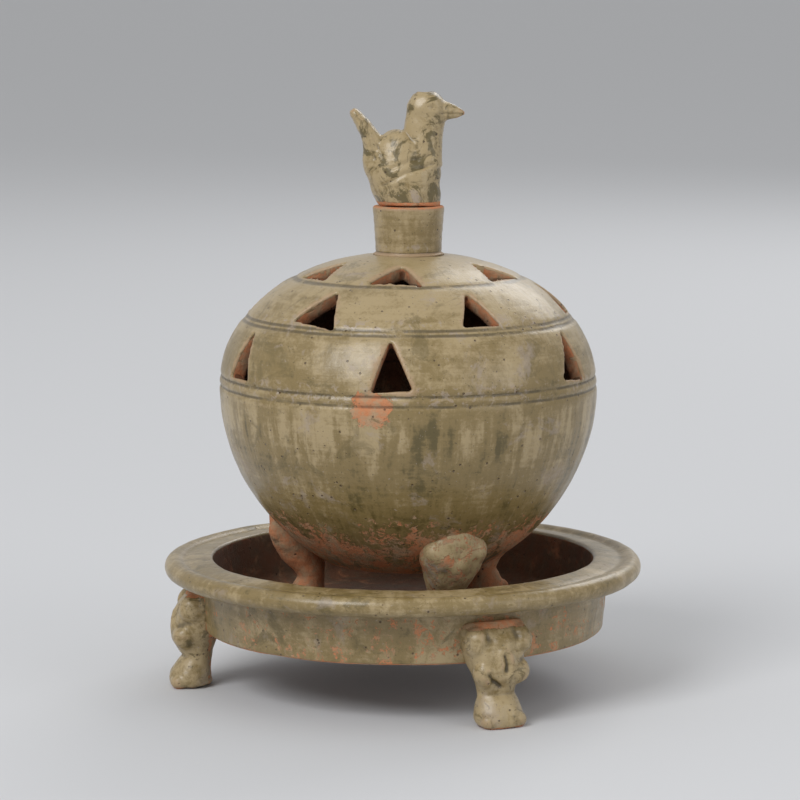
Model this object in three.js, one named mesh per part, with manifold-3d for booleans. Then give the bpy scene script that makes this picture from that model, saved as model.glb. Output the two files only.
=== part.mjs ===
// Glazed stoneware incense burner: an openwork globe on three beast feet, standing in a
// footed tray, closed by a bird stopper. Millimetres, +Z up, origin on the floor at the tray's axis.
// Azimuths are in degrees, measured at the front (-Y) and growing towards +X.
import * as THREE from 'three';
import { mergeVertices } from 'three/addons/utils/BufferGeometryUtils.js';
import Module from 'manifold-3d';

const wasm = await Module();
wasm.setup();

// Clearances
const lutingGap = 0.3;
const restGap = 0.3;
const plugClearance = 0.5;

// Turned faces
const facetsRound = 48;
const facetsNeck = 32;
const birdSides = 16;
const birdRows = 10;

// Tray
const trayRimRadius = 90;
const trayRimHeight = 49.2;
const trayRimThickness = 7.2;
const trayMouthRadius = 71.6;
const trayWallTopRadius = 77;
const trayWallFootRadius = 75.4;
const trayUndersideHeight = 22;
const trayFloorThickness = 6;
const trayFloorFillet = 5;
const rimDish = 0.9;
const rimBead = 3.4;
const rimMiddleShift = 2;
const rimMiddleShare = 0.7;
const mouthRounding = 1.2;
const mouthUndercut = 0.8;
const wallBevel = 1.2;
const rimCornice = 1;
const trayFilletSteps = 3;
const rimEdgeSteps = 6;
const mouthSteps = 2;

// Globe
const burnerOffsetX = 2;
const globeRadius = 70.7;
const globeWidestHeight = 113;
const globeLowerReach = 74.2;
const globeUpperReach = 50.3;
const globeLowerSquare = 1.92;
const globeUpperSquare = 2.11;
const globeWall = 6;
const globeBaseHeight = 47;
const globeSeamRise = 3;
const grooveRises = [1.2, 4.7, 25.5, 27.1, 41];
const grooveWidth = 1.1;
const grooveDepth = 0.7;

// Windows cut through the dome, by row: the rise of the base and the apex over the widest
// level, on the outer face, then each window's azimuth, width and sideways lean of its apex.
const windowCorner = 1.2;
const windowRows = [
  {
    base: 6.9,
    apex: 24.6,
    windows: [[-5.4, 15.4, -1], [60.5, 15.7, 2], [120, 15, 0], [178, 16, -1], [238, 15, 1], [297.5, 14.5, 0]],
  },
  {
    base: 28.6,
    apex: 39.4,
    windows: [[-35.2, 19.5, 2], [26.5, 15.6, 0], [87, 17, 1], [147, 18, -1], [207, 17, 0], [266, 18, 0]],
  },
  {
    base: 42.3,
    apex: 47.4,
    windows: [[-6.5, 20.5, 1], [62, 20, 1], [119, 19, 0], [179, 20, -1], [238, 19, 1], [298, 18, -1]],
  },
];

// Neck and its bore
const neckHeight = 18.09;
const neckTopRadius = 13.3;
const neckFootRadius = 12.3;
const neckLip = 0.6;
const neckBoreRadius = 7.6;
const crownSeatRadius = 14;

// Bird stopper, drawn in the X-Z plane and turned to face +X; its rises are over its seat
const birdSeatRadius = 11.3;
const birdOffsetX = 0.7;
const birdHeight = 42.5;
const birdBeakReach = 21.3;
const birdBeakRise = 33.7;
const birdTailReach = 22.2;
const birdTailRise = 35.5;
const birdHead = { x: 6.2, halfLength: 7, halfWidth: 6.2, halfHeight: 6.9 };
const birdBody = { x: -1.8, rise: 12.6, halfLength: 14.8, halfWidth: 10.6, halfHeight: 10.6 };
const birdBreast = { x: 5.2, rise: 17.1, halfLength: 7.6, halfWidth: 7.4, halfHeight: 17 };
const birdThroat = { x: 5.6, bottomRise: 9.1, topRise: 35.1, bottomRadius: 7.4, topRadius: 7 };
const birdBeak = { rootX: 8.5, rootRise: 34.7, rootRadius: 4.6, tipRadius: 0.7, flatness: 1 };
const birdTail = { rootX: -9.6, rootRise: 11.1, rootRadius: 7.6, tipRadius: 2.4, flatness: 0.8 };
const birdFootHeight = 8;
const birdFootFlare = 0.8;
const birdFootBevel = 0.5;
const plugLength = 12;
const plugTaper = 0.4;
const plugRoot = 1;

// Beast feet: radii from the axis that they stand around, heights from what they stand on
const trayFoot = {
  names: ['front', 'left', 'rear'],
  azimuths: [25, -85, 145],
  height: 37,
  heel: 72,
  toe: 89.1,
  ankleBack: 72.4,
  ankleFront: 83.6,
  bellyBack: 66,
  belly: 89.2,
  browFront: 83.6,
  topFront: 80.5,
  pawHalf: 9.3,
  ankleHalf: 7.2,
  browHalf: 13.2,
  topHalf: 11.4,
};
const burnerFoot = {
  names: ['front', 'left', 'rear'],
  azimuths: [21, -101, 132],
  height: 39.2,
  heel: 32.5,
  toe: 46.4,
  ankleBack: 32.6,
  ankleFront: 42.4,
  bellyBack: 30,
  belly: 52.2,
  browFront: 53.4,
  topFront: 54.6,
  pawHalf: 8.6,
  ankleHalf: 6.8,
  browHalf: 13.2,
  topHalf: 5,
};
const footSides = 12;
const footRows = 10;
const footSquareness = 0.8;
const soleBevel = { heel: 0.6, toe: 1, side: 0.8 };
const instepSetback = 2;
const ear = { radius: 3.6, share: 0.84, inset: 2.4, spread: 0.62 };
const snout = { radius: 4.4, share: 0.6, inset: 3.8 };
const faceSides = 8;
const faceRows = 6;

const glazeOlive = { color: 0x8a7a4e, roughness: 0.42, metalness: 0 };
const glazePale = { color: 0x9c8a62, roughness: 0.5, metalness: 0 };
const clayPink = { color: 0xa87a5c, roughness: 0.75, metalness: 0 };

const trayFloorHeight = trayUndersideHeight + trayFloorThickness;
const globeSeamHeight = globeWidestHeight + globeSeamRise;
const grooveHeights = grooveRises.map((rise) => globeWidestHeight + rise);

// A closed geometry as a solid, with its shared corners merged and its faces turned outwards
function solidOf(geometry) {
  geometry.deleteAttribute('normal');
  geometry.deleteAttribute('uv');
  const merged = mergeVertices(geometry, 1e-4);
  const position = merged.attributes.position;
  const index = merged.index.array;
  const corners = [new THREE.Vector3(), new THREE.Vector3(), new THREE.Vector3()];
  const kept = [];
  let volume = 0;
  for (let i = 0; i < index.length; i += 3) {
    const [a, b, c] = [index[i], index[i + 1], index[i + 2]];
    if (a === b || b === c || c === a) continue;
    kept.push(a, b, c);
    [a, b, c].forEach((id, k) => corners[k].fromBufferAttribute(position, id));
    volume += corners[0].dot(corners[1].cross(corners[2]));
  }
  const triVerts = Uint32Array.from(kept);
  if (volume < 0) {
    for (let i = 0; i < triVerts.length; i += 3) {
      [triVerts[i], triVerts[i + 1]] = [triVerts[i + 1], triVerts[i]];
    }
  }
  const vertProperties = Float32Array.from(position.array);
  return new wasm.Manifold(new wasm.Mesh({ numProp: 3, vertProperties, triVerts }));
}

function geometryOf(solid) {
  const { vertProperties, triVerts } = solid.getMesh();
  const geometry = new THREE.BufferGeometry();
  geometry.setAttribute('position', new THREE.BufferAttribute(vertProperties, 3));
  geometry.setIndex(new THREE.BufferAttribute(triVerts, 1));
  geometry.computeVertexNormals();
  return geometry;
}

function piece(name, solid, finish) {
  const mesh = new THREE.Mesh(geometryOf(solid), new THREE.MeshStandardMaterial(finish));
  mesh.name = name;
  return mesh;
}

// A profile of [radius, height] points turned about the Z axis
function turned(points, facets) {
  const profile = points.map(([radius, height]) => new THREE.Vector2(radius, height));
  return solidOf(new THREE.LatheGeometry(profile, facets).rotateX(Math.PI / 2));
}

const joined = (solids) => solids.reduce((sum, solid) => sum.add(solid));

// Points of an arc about [x, y], from one angle to another in degrees
function arc([x, y], radius, [from, to], steps) {
  return Array.from({ length: steps + 1 }, (_, i) => {
    const angle = THREE.MathUtils.degToRad(from + (to - from) * (i / steps));
    return [x + radius * Math.cos(angle), y + radius * Math.sin(angle)];
  });
}

// Globe: a squashed superellipse of turning; inset moves it inwards by a wall
function globeHalf(height) {
  const above = height > globeWidestHeight;
  return {
    reach: above ? globeUpperReach : globeLowerReach,
    square: above ? globeUpperSquare : globeLowerSquare,
  };
}

function globeRadiusAt(height, inset = 0) {
  const { reach, square } = globeHalf(height);
  const share = Math.min(Math.abs(height - globeWidestHeight) / (reach - inset), 1);
  return (globeRadius - inset) * (1 - share ** square) ** (1 / square);
}

function globeHeightAt(radius, inset = 0) {
  const share = radius / (globeRadius - inset);
  return globeWidestHeight + (globeUpperReach - inset) * (1 - share ** globeUpperSquare) ** (1 / globeUpperSquare);
}

// Heights between two levels, closer together where the globe curves in towards its poles
function globeHeights(from, to, steps, inset = 0) {
  const angleAt = (height) => {
    const { reach } = globeHalf(height);
    return Math.asin(THREE.MathUtils.clamp((height - globeWidestHeight) / (reach - inset), -1, 1));
  };
  const [start, end] = [angleAt(from), angleAt(to)];
  return Array.from({ length: steps + 1 }, (_, i) => {
    const angle = start + (end - start) * (i / steps);
    const reach = (angle > 0 ? globeUpperReach : globeLowerReach) - inset;
    return globeWidestHeight + reach * Math.sin(angle);
  });
}

// The outer face between two levels, with every turned groove that lies between them
function globeFace(from, to, steps) {
  const half = grooveWidth / 2;
  const inGroove = (height) => grooveHeights.some((g) => Math.abs(height - g) < grooveWidth);
  const plain = globeHeights(from, to, steps).filter((height, i) => i === 0 || i === steps || !inGroove(height));
  const points = plain.map((height) => [globeRadiusAt(height), height]);
  for (const groove of grooveHeights) {
    if (groove - grooveWidth < from || groove + grooveWidth > to) continue;
    points.push([globeRadiusAt(groove - half), groove - half]);
    points.push([globeRadiusAt(groove) - grooveDepth, groove]);
    points.push([globeRadiusAt(groove + half), groove + half]);
  }
  return points.sort((a, b) => a[1] - b[1]);
}

const globeHollow = (from, to, steps) =>
  globeHeights(from, to, steps, globeWall).map((height) => [globeRadiusAt(height, globeWall), height]);

function makeBowl() {
  const floor = globeBaseHeight + globeWall;
  return turned(
    [
      [0, globeBaseHeight],
      ...globeFace(globeBaseHeight, globeSeamHeight, 10),
      ...globeHollow(floor, globeSeamHeight, 8).reverse(),
      [0, floor],
    ],
    facetsRound,
  );
}

// A window's cutter: a triangle with rounded corners, pushed square through the wall
function windowCutter(row, [azimuth, width, lean]) {
  const [base, apex] = [globeWidestHeight + row.base, globeWidestHeight + row.apex];
  const foot = new THREE.Vector2(globeRadiusAt(base), base);
  const peak = new THREE.Vector2(globeRadiusAt(apex), apex);
  const slope = peak.clone().sub(foot);
  const rise = slope.length() / 2;
  const middle = foot.clone().add(peak).divideScalar(2);
  const corners = [
    new THREE.Vector2(-width / 2, -rise),
    new THREE.Vector2(width / 2, -rise),
    new THREE.Vector2(lean, rise),
  ];
  const shape = new THREE.Shape();
  corners.forEach((corner, i) => {
    const before = corners[(i + 2) % 3].clone().sub(corner).setLength(windowCorner);
    const after = corners[(i + 1) % 3].clone().sub(corner).setLength(windowCorner);
    const start = corner.clone().add(before);
    if (i === 0) shape.moveTo(start.x, start.y);
    else shape.lineTo(start.x, start.y);
    shape.quadraticCurveTo(corner.x, corner.y, corner.x + after.x, corner.y + after.y);
  });
  shape.closePath();
  const inside = globeWall * 2;
  const outside = globeWall;
  const cutter = new THREE.ExtrudeGeometry(shape, {
    depth: inside + outside,
    bevelEnabled: false,
    curveSegments: 2,
  });
  cutter.translate(0, 0, -inside);
  const turn = THREE.MathUtils.degToRad(azimuth);
  const outwards = new THREE.Vector3(Math.sin(turn), -Math.cos(turn), 0);
  const across = new THREE.Vector3(Math.cos(turn), Math.sin(turn), 0);
  const upwards = outwards.clone().multiplyScalar(slope.x).setZ(slope.y).normalize();
  const square = new THREE.Vector3().crossVectors(across, upwards);
  const place = new THREE.Matrix4().makeBasis(across, upwards, square);
  place.setPosition(outwards.multiplyScalar(middle.x).setZ(middle.y));
  return solidOf(cutter.applyMatrix4(place));
}

const crownSeatHeight = globeHeightAt(crownSeatRadius);
const neckTopHeight = crownSeatHeight + neckHeight;

function makeDome() {
  const crownUnderside = globeHeightAt(neckBoreRadius, globeWall);
  const face = globeFace(globeSeamHeight, crownSeatHeight, 9);
  const hollow = globeHollow(globeSeamHeight, crownUnderside, 8);
  hollow[hollow.length - 1] = [neckBoreRadius, crownUnderside];
  const profile = [...face, [neckBoreRadius, crownSeatHeight], ...hollow.reverse(), face[0]];
  const shell = turned(profile, facetsRound);
  const cutters = windowRows.flatMap((row) => row.windows.map((window) => windowCutter(row, window)));
  return cutters.reduce((cut, cutter) => cut.subtract(cutter), shell);
}

function makeNeck() {
  const profile = [
    [neckBoreRadius, crownSeatHeight],
    [neckFootRadius + neckLip, crownSeatHeight],
    [neckFootRadius, crownSeatHeight + 2 * neckLip],
    [neckTopRadius, neckTopHeight - neckLip],
    [neckTopRadius - neckLip, neckTopHeight],
    [neckBoreRadius, neckTopHeight],
    [neckBoreRadius, crownSeatHeight],
  ];
  return turned(profile, facetsNeck);
}

// A ball stretched to three half sizes, with its middle at a height
function lump({ x, halfLength, halfWidth, halfHeight }, height) {
  const ball = new THREE.SphereGeometry(1, birdSides, birdRows).rotateX(Math.PI / 2);
  ball.scale(halfLength, halfWidth, halfHeight);
  return solidOf(ball.translate(x, 0, height));
}

function makeBird() {
  const seat = neckTopHeight + restGap;
  const plugRadius = neckBoreRadius - plugClearance;
  const plug = turned(
    [
      [0, seat - plugLength],
      [plugRadius - plugTaper, seat - plugLength],
      [plugRadius, seat + plugRoot],
      [0, seat + plugRoot],
    ],
    facetsNeck,
  );
  const base = turned(
    [
      [0, seat],
      [birdSeatRadius - birdFootBevel, seat],
      [birdSeatRadius, seat + 2 * birdFootBevel],
      [birdSeatRadius + birdFootFlare, seat + birdFootHeight],
      [0, seat + birdFootHeight],
    ],
    facetsNeck,
  ).translate([birdOffsetX, 0, 0]);
  const throatBottom = seat + birdThroat.bottomRise;
  const throatTop = seat + birdThroat.topRise;
  const throat = turned(
    [
      [0, throatBottom],
      [birdThroat.bottomRadius, throatBottom],
      [birdThroat.topRadius, throatTop],
      [0, throatTop],
    ],
    birdSides,
  ).translate([birdThroat.x, 0, 0]);
  const body = lump(birdBody, seat + birdBody.rise);
  const breast = lump(birdBreast, seat + birdBreast.rise);
  const head = lump(birdHead, seat + birdHeight - birdHead.halfHeight);
  const beak = tapered(birdBeak, seat, [birdBeakReach, birdBeakRise]);
  const tail = tapered(birdTail, seat, [birdTail.tipRadius - birdTailReach, birdTailRise]);
  return joined([body, breast, head, throat, beak, tail, base, plug]);
}

// A tapered rod in the X-Z plane from its root to a tip, its width a share of its depth
function tapered(rod, seat, [tipX, tipRise]) {
  const root = new THREE.Vector3(rod.rootX, 0, seat + rod.rootRise);
  const tip = new THREE.Vector3(tipX, 0, seat + tipRise);
  const way = tip.clone().sub(root);
  const shape = new THREE.CylinderGeometry(rod.tipRadius, rod.rootRadius, way.length(), birdSides);
  shape.scale(1, 1, rod.flatness);
  shape.rotateX(Math.PI / 2);
  shape.rotateY(Math.atan2(way.x, way.z));
  const middle = root.add(tip).divideScalar(2);
  return solidOf(shape.translate(middle.x, middle.y, middle.z));
}

// A beast's foot: a column whose back, front and half width follow three curves of its height.
// Each curve's points pair a share of the foot's height with a radius or a half width there.
function makeFoot(size, groundHeight, keepOff) {
  const curve = (points) => new THREE.SplineCurve(points.map(([up, value]) => new THREE.Vector2(up, value)));
  const { heel, toe, ankleBack, ankleFront, bellyBack, belly, browFront, topFront } = size;
  const back = curve([
    [0, heel + soleBevel.heel], [0.1, heel], [0.28, ankleBack], [0.6, bellyBack], [1, bellyBack],
  ]);
  const front = curve([
    [0, toe - soleBevel.toe], [0.07, toe], [0.16, toe - instepSetback], [0.27, ankleFront],
    [0.42, belly - instepSetback], [0.57, belly], [0.75, (belly + browFront) / 2], [0.9, browFront],
    [1, topFront],
  ]);
  const half = curve([
    [0, size.pawHalf - soleBevel.side], [0.1, size.pawHalf], [0.3, size.ankleHalf],
    [0.55, (size.ankleHalf + size.browHalf) / 2], [0.82, size.browHalf], [1, size.topHalf],
  ]);
  const at = (line, up) => {
    const spans = line.points.length - 1;
    let span = 0;
    while (span < spans - 1 && line.points[span + 1].x < up) span += 1;
    const [a, b] = [line.points[span], line.points[span + 1]];
    return line.getPoint((span + (up - a.x) / (b.x - a.x)) / spans).y;
  };
  const column = new THREE.CylinderGeometry(1, 1, 1, footSides, footRows).rotateX(Math.PI / 2);
  const position = column.attributes.position;
  const rounded = (value) => Math.sign(value) * Math.abs(value) ** footSquareness;
  for (let i = 0; i < position.count; i += 1) {
    const up = THREE.MathUtils.clamp(position.getZ(i) + 0.5, 0, 1);
    const [inner, outer] = [at(back, up), at(front, up)];
    const radius = (inner + outer) / 2 + (rounded(position.getX(i)) * (outer - inner)) / 2;
    position.setXYZ(i, radius, rounded(position.getY(i)) * at(half, up), groundHeight + up * size.height);
  }
  const ball = ({ radius, share, inset }, y) => {
    const x = at(front, share) - inset;
    const sphere = new THREE.SphereGeometry(radius, faceSides, faceRows);
    return solidOf(sphere.translate(x, y, groundHeight + share * size.height));
  };
  const earSpread = size.browHalf * ear.spread;
  const ears = [-earSpread, earSpread].map((y) => ball(ear, y));
  return joined([solidOf(column), ...ears, ball(snout, 0)]).subtract(keepOff);
}

// Three feet of one kind, each turned to its azimuth about the axis at x
function feet(label, size, groundHeight, keepOff, axisX, finish) {
  const foot = makeFoot(size, groundHeight, keepOff);
  return size.azimuths.map((azimuth, i) => {
    const mesh = piece(`${label}_${size.names[i]}`, foot, finish);
    mesh.rotation.z = THREE.MathUtils.degToRad(azimuth - 90);
    mesh.position.x = axisX;
    return mesh;
  });
}

// What the tray feet are pressed onto: the tray's wall and underside, grown by the luting gap
function trayKeepOff() {
  const floor = trayUndersideHeight - lutingGap;
  const top = trayRimHeight + trayRimThickness;
  return turned(
    [
      [0, floor],
      [trayWallFootRadius + lutingGap, floor],
      [trayWallTopRadius + lutingGap, trayRimHeight - trayRimThickness],
      [trayWallTopRadius + lutingGap, top],
      [0, top],
    ],
    facetsRound * 2,
  );
}

// What the burner feet are pressed onto: the lower globe, grown by the luting gap
function globeKeepOff() {
  const heights = globeHeights(globeBaseHeight, globeWidestHeight, 14);
  const points = heights.map((height) => [globeRadiusAt(height) + lutingGap, height - lutingGap]);
  return turned([[0, globeBaseHeight - lutingGap], ...points, [0, globeWidestHeight - lutingGap]], facetsRound * 2);
}

function makeTray() {
  const rimBase = trayRimHeight - trayRimThickness;
  const edge = trayRimThickness / 2;
  const mouthCentre = [trayMouthRadius + mouthRounding, trayRimHeight - mouthRounding];
  const filletRadius = trayMouthRadius - 2 * mouthUndercut - trayFloorFillet;
  const filletCentre = [filletRadius, trayFloorHeight + trayFloorFillet];
  const profile = [
    [0, trayUndersideHeight],
    [trayWallFootRadius - wallBevel, trayUndersideHeight],
    [trayWallFootRadius, trayUndersideHeight + wallBevel],
    [trayWallTopRadius, rimBase - rimCornice],
    [trayWallTopRadius + rimCornice, rimBase],
    ...arc([trayRimRadius - edge, rimBase + edge], edge, [-90, 90], rimEdgeSteps),
    [trayRimRadius - edge - rimBead, trayRimHeight - rimDish],
    [(trayMouthRadius + trayRimRadius) / 2 - rimMiddleShift, trayRimHeight - rimDish * rimMiddleShare],
    ...arc(mouthCentre, mouthRounding, [90, 180], mouthSteps),
    [trayMouthRadius - mouthUndercut, rimBase],
    ...arc(filletCentre, trayFloorFillet, [0, -90], trayFilletSteps),
    [0, trayFloorHeight],
  ];
  return turned(profile, facetsRound);
}

const part = new THREE.Group();
part.add(piece('tray_dish', makeTray(), clayPink));
part.add(...feet('tray_foot', trayFoot, 0, trayKeepOff(), 0, glazePale));

const burner = new THREE.Group();
burner.position.x = burnerOffsetX;
burner.add(piece('burner_bowl', makeBowl(), glazeOlive));
burner.add(piece('burner_dome', makeDome(), glazeOlive));
burner.add(piece('burner_neck', makeNeck(), glazeOlive));
burner.add(piece('bird_stopper', makeBird(), glazePale));
burner.add(...feet('burner_foot', burnerFoot, trayFloorHeight + restGap, globeKeepOff(), 0, clayPink));
part.add(burner);

export default part;
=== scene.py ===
import math

import bmesh
import bpy
import numpy as np
from mathutils import Matrix, Vector, noise


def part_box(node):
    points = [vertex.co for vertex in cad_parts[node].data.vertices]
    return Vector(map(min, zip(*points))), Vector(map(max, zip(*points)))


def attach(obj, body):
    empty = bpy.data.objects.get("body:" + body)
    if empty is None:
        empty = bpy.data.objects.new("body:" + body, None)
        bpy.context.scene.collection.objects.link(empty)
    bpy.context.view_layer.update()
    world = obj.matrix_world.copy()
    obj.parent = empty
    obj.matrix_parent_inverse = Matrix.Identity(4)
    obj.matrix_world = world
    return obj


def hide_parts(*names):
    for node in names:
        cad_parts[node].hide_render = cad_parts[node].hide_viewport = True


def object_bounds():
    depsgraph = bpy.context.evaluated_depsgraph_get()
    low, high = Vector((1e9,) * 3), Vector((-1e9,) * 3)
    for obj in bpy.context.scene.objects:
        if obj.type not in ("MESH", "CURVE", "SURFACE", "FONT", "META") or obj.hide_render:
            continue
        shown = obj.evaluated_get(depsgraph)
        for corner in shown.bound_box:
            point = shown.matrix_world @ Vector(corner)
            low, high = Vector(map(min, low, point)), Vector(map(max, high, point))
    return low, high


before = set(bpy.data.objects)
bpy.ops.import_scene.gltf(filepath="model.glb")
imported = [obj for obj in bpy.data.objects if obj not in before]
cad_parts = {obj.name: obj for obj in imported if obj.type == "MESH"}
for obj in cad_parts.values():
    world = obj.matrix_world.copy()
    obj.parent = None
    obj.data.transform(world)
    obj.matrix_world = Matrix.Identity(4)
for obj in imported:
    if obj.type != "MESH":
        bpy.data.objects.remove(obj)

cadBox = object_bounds()
mm = 0.001
voxelShare = 1.0
restGap = 0.3  # between the neck's lip and the bird


def nodeBox(node):
    low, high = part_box(node)
    return low / mm, high / mm


neckLow, neckHigh = nodeBox("burner_neck")
burnerAxis = (neckLow.x + neckHigh.x) / 2
trayRim = nodeBox("tray_dish")[1]
burnerStand = nodeBox("burner_foot_front")[0].z
seatHeight = neckHigh.z + restGap

# Mesh helpers


def pieceFrom(name, shape):
    shape.transform(Matrix.Scale(mm, 4))
    bmesh.ops.recalc_face_normals(shape, faces=shape.faces)
    mesh = bpy.data.meshes.new(name)
    shape.to_mesh(mesh)
    shape.free()
    mesh.shade_smooth()
    piece = bpy.data.objects.new(name, mesh)
    bpy.context.scene.collection.objects.link(piece)
    return piece


def skinBetween(shape, rings, closed=False):
    pairs = list(zip(rings, rings[1:]))
    if closed:
        pairs.append((rings[-1], rings[0]))
    for low, high in pairs:
        count = max(len(low), len(high))
        for k in range(count):
            after = (k + 1) % count
            if len(low) == 1:
                shape.faces.new([low[0], high[after], high[k]])
            elif len(high) == 1:
                shape.faces.new([low[k], low[after], high[0]])
            else:
                shape.faces.new([low[k], low[after], high[after], high[k]])


def turn(shape, profile, sides, axisX=0.0, closed=False):
    # profile is (radius, height) points; a radius of 0 is a pole
    rings = []
    for radius, height in profile:
        turns = [2 * math.pi * k / sides for k in range(sides)] if radius > 0 else [0]
        rings.append([
            shape.verts.new((axisX + radius * math.cos(t), radius * math.sin(t), height)) for t in turns
        ])
    skinBetween(shape, rings, closed)


def throughPoints(points, steps):
    # a smooth run through the points, with the same number of steps between each two
    points = np.array(points, float)
    padded = np.vstack([2 * points[0] - points[1], points, 2 * points[-1] - points[-2]])
    made = []
    for k in range(len(points) - 1):
        a, b, c, d = padded[k:k + 4]
        for t in np.linspace(0, 1, steps, endpoint=False):
            made.append(0.5 * (2 * b + (c - a) * t + (2 * a - 5 * b + 4 * c - d) * t**2
                               + (3 * b - a - 3 * c + d) * t**3))
    made.append(points[-1])
    return np.array(made)


def limb(shape, stations, steps=5, sides=28, thinnest=0.2):
    # stations are (x, z, half size in the drawing plane, half size across it)
    rows = throughPoints(stations, steps)
    ways = np.gradient(rows[:, :2], axis=0)
    ways /= np.linalg.norm(ways, axis=1)[:, None]
    rings = [[shape.verts.new((rows[0, 0], 0, rows[0, 1]))]]
    for (x, z, inPlane, across), (wayX, wayZ) in zip(rows, ways):
        ring = []
        for k in range(sides):
            angle = 2 * math.pi * k / sides
            out = max(inPlane, thinnest) * math.cos(angle)
            aside = max(across, thinnest) * math.sin(angle)
            ring.append(shape.verts.new((x + wayZ * out, aside, z - wayX * out)))
        rings.append(ring)
    rings.append([shape.verts.new((rows[-1, 0], 0, rows[-1, 1]))])
    skinBetween(shape, rings)


def lump(shape, centre, halves):
    place = Matrix.LocRotScale(Vector(centre), None, Vector(halves))
    bmesh.ops.create_icosphere(shape, subdivisions=3, radius=1, matrix=place)


def settled(piece):
    # leaves the result of the modifiers as a plain mesh
    graph = bpy.context.evaluated_depsgraph_get()
    mesh = bpy.data.meshes.new_from_object(piece.evaluated_get(graph))
    piece.modifiers.clear()
    piece.data = mesh
    mesh.shade_smooth()
    return piece


def newSkin(piece, voxel, mostTriangles=190000):
    skin = piece.modifiers.new("skin", "REMESH")
    skin.mode = "VOXEL"
    skin.voxel_size = voxel * voxelShare * mm
    settled(piece)
    triangles = 2 * len(piece.data.polygons)
    if triangles > mostTriangles:
        piece.modifiers.new("lighter", "DECIMATE").ratio = mostTriangles / triangles
        settled(piece)
    return piece


def softened(piece, rounds):
    soften = piece.modifiers.new("soften", "SMOOTH")
    soften.iterations = rounds
    return settled(piece)


def pointsOf(piece):
    flat = np.empty(len(piece.data.vertices) * 3, np.float32)
    piece.data.vertices.foreach_get("co", flat)
    return flat.reshape(-1, 3).astype(float) / mm


def putPoints(piece, points):
    piece.data.vertices.foreach_set("co", (points * mm).astype(np.float32).ravel())
    piece.data.update()


def normalsOf(piece):
    flat = np.empty(len(piece.data.vertices) * 3, np.float32)
    piece.data.vertex_normals.foreach_get("vector", flat)
    return flat.reshape(-1, 3).astype(float)


seedSteps = (7.3, 3.1, 5.7)  # each seed takes its own place in the noise


def ripple(points, size, seed):
    shift = Vector([seed * step for step in seedSteps])
    return np.array([noise.noise(Vector(p) / size + shift) for p in points])


def waves(points, rows):
    # rows are (size, seed, depth)
    return sum(ripple(points, size, seed) * depth for size, seed, depth in rows)


def ramp(values, low, high):
    # 0 at low and 1 at high, eased between; low may be the larger one
    share = np.clip((values - low) / (high - low), 0, 1)
    return share * share * (3 - 2 * share)


def nearLine(flat, line):
    # each point's distance to a bent line, both in two coordinates
    best = np.full(len(flat), np.inf)
    for a, b in zip(np.array(line[:-1], float), np.array(line[1:], float)):
        along = np.clip(((flat - a) @ (b - a)) / ((b - a) @ (b - a)), 0, 1)
        best = np.minimum(best, np.linalg.norm(flat - (a + along[:, None] * (b - a)), axis=1))
    return best


def pressed(points, normals, plane, lines, facing, crispness=1.0):
    # lines are (bent line in the plane, width, depth), pressed in by as much as facing says
    for line, width, depth in lines:
        near = np.exp(-((nearLine(points[:, plane], line) / width) ** 2))
        points = points - normals * (near * depth * crispness * facing)[:, None]
    return points


def crestOf(piece, size, rounds=5):
    # above 0 on edges that wear, below 0 in hollows, where glaze pools and bare clay gets painted shade
    points = pointsOf(piece)
    ends = np.empty(len(piece.data.edges) * 2, np.int32)
    piece.data.edges.foreach_get("vertices", ends)
    one, two = ends.reshape(-1, 2).T
    count = len(points)
    degree = np.maximum(np.bincount(one, minlength=count) + np.bincount(two, minlength=count), 1)

    def averaged(values):
        both = np.bincount(one, values[two], count) + np.bincount(two, values[one], count)
        return both / degree

    blurred = points.copy()
    for _ in range(rounds):
        blurred = np.column_stack([averaged(blurred[:, k]) for k in range(3)])
    crest = np.einsum("ij,ij->i", points - blurred, normalsOf(piece)) / size
    return np.clip(averaged(averaged(crest)), -1, 1)


def dress(piece, material, body, nodes, bare, paintedShade=0.0, crestSize=0.45):
    # bare is where the clay shows through the glaze; the values after it are painted shade that darkens the
    # clay
    count = len(piece.data.vertices)
    for label, values in (("crest", crestOf(piece, crestSize)), ("bare", bare), ("paintedShade", paintedShade)):
        held = piece.data.attributes.new(label, "FLOAT", "POINT")
        held.data.foreach_set("value", np.broadcast_to(values, count).astype(np.float32))
    piece.data.materials.clear()
    piece.data.materials.append(material)
    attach(piece, body)
    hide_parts(*nodes)
    print(piece.name, len(piece.data.polygons), "faces")


# Material helpers: sums on sockets are written as Python sums


class Wire:
    def __init__(self, recipe, socket):
        self.recipe, self.socket = recipe, socket

    def maths(self, operation, first, second=0.0):
        return self.recipe.node("ShaderNodeMath", {"operation": operation}, {0: first, 1: second})

    def __add__(self, other):
        return self.maths("ADD", self, other)

    def __sub__(self, other):
        return self.maths("SUBTRACT", self, other)

    def __rsub__(self, other):
        return self.maths("SUBTRACT", other, self)

    def __mul__(self, other):
        return self.maths("MULTIPLY", self, other)

    def __truediv__(self, other):
        return self.maths("DIVIDE", self, other)

    def __abs__(self):
        return self.maths("ABSOLUTE", self)

    def orMore(self, other):
        return self.maths("MAXIMUM", self, other)

    __radd__ = __add__
    __rmul__ = __mul__


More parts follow.
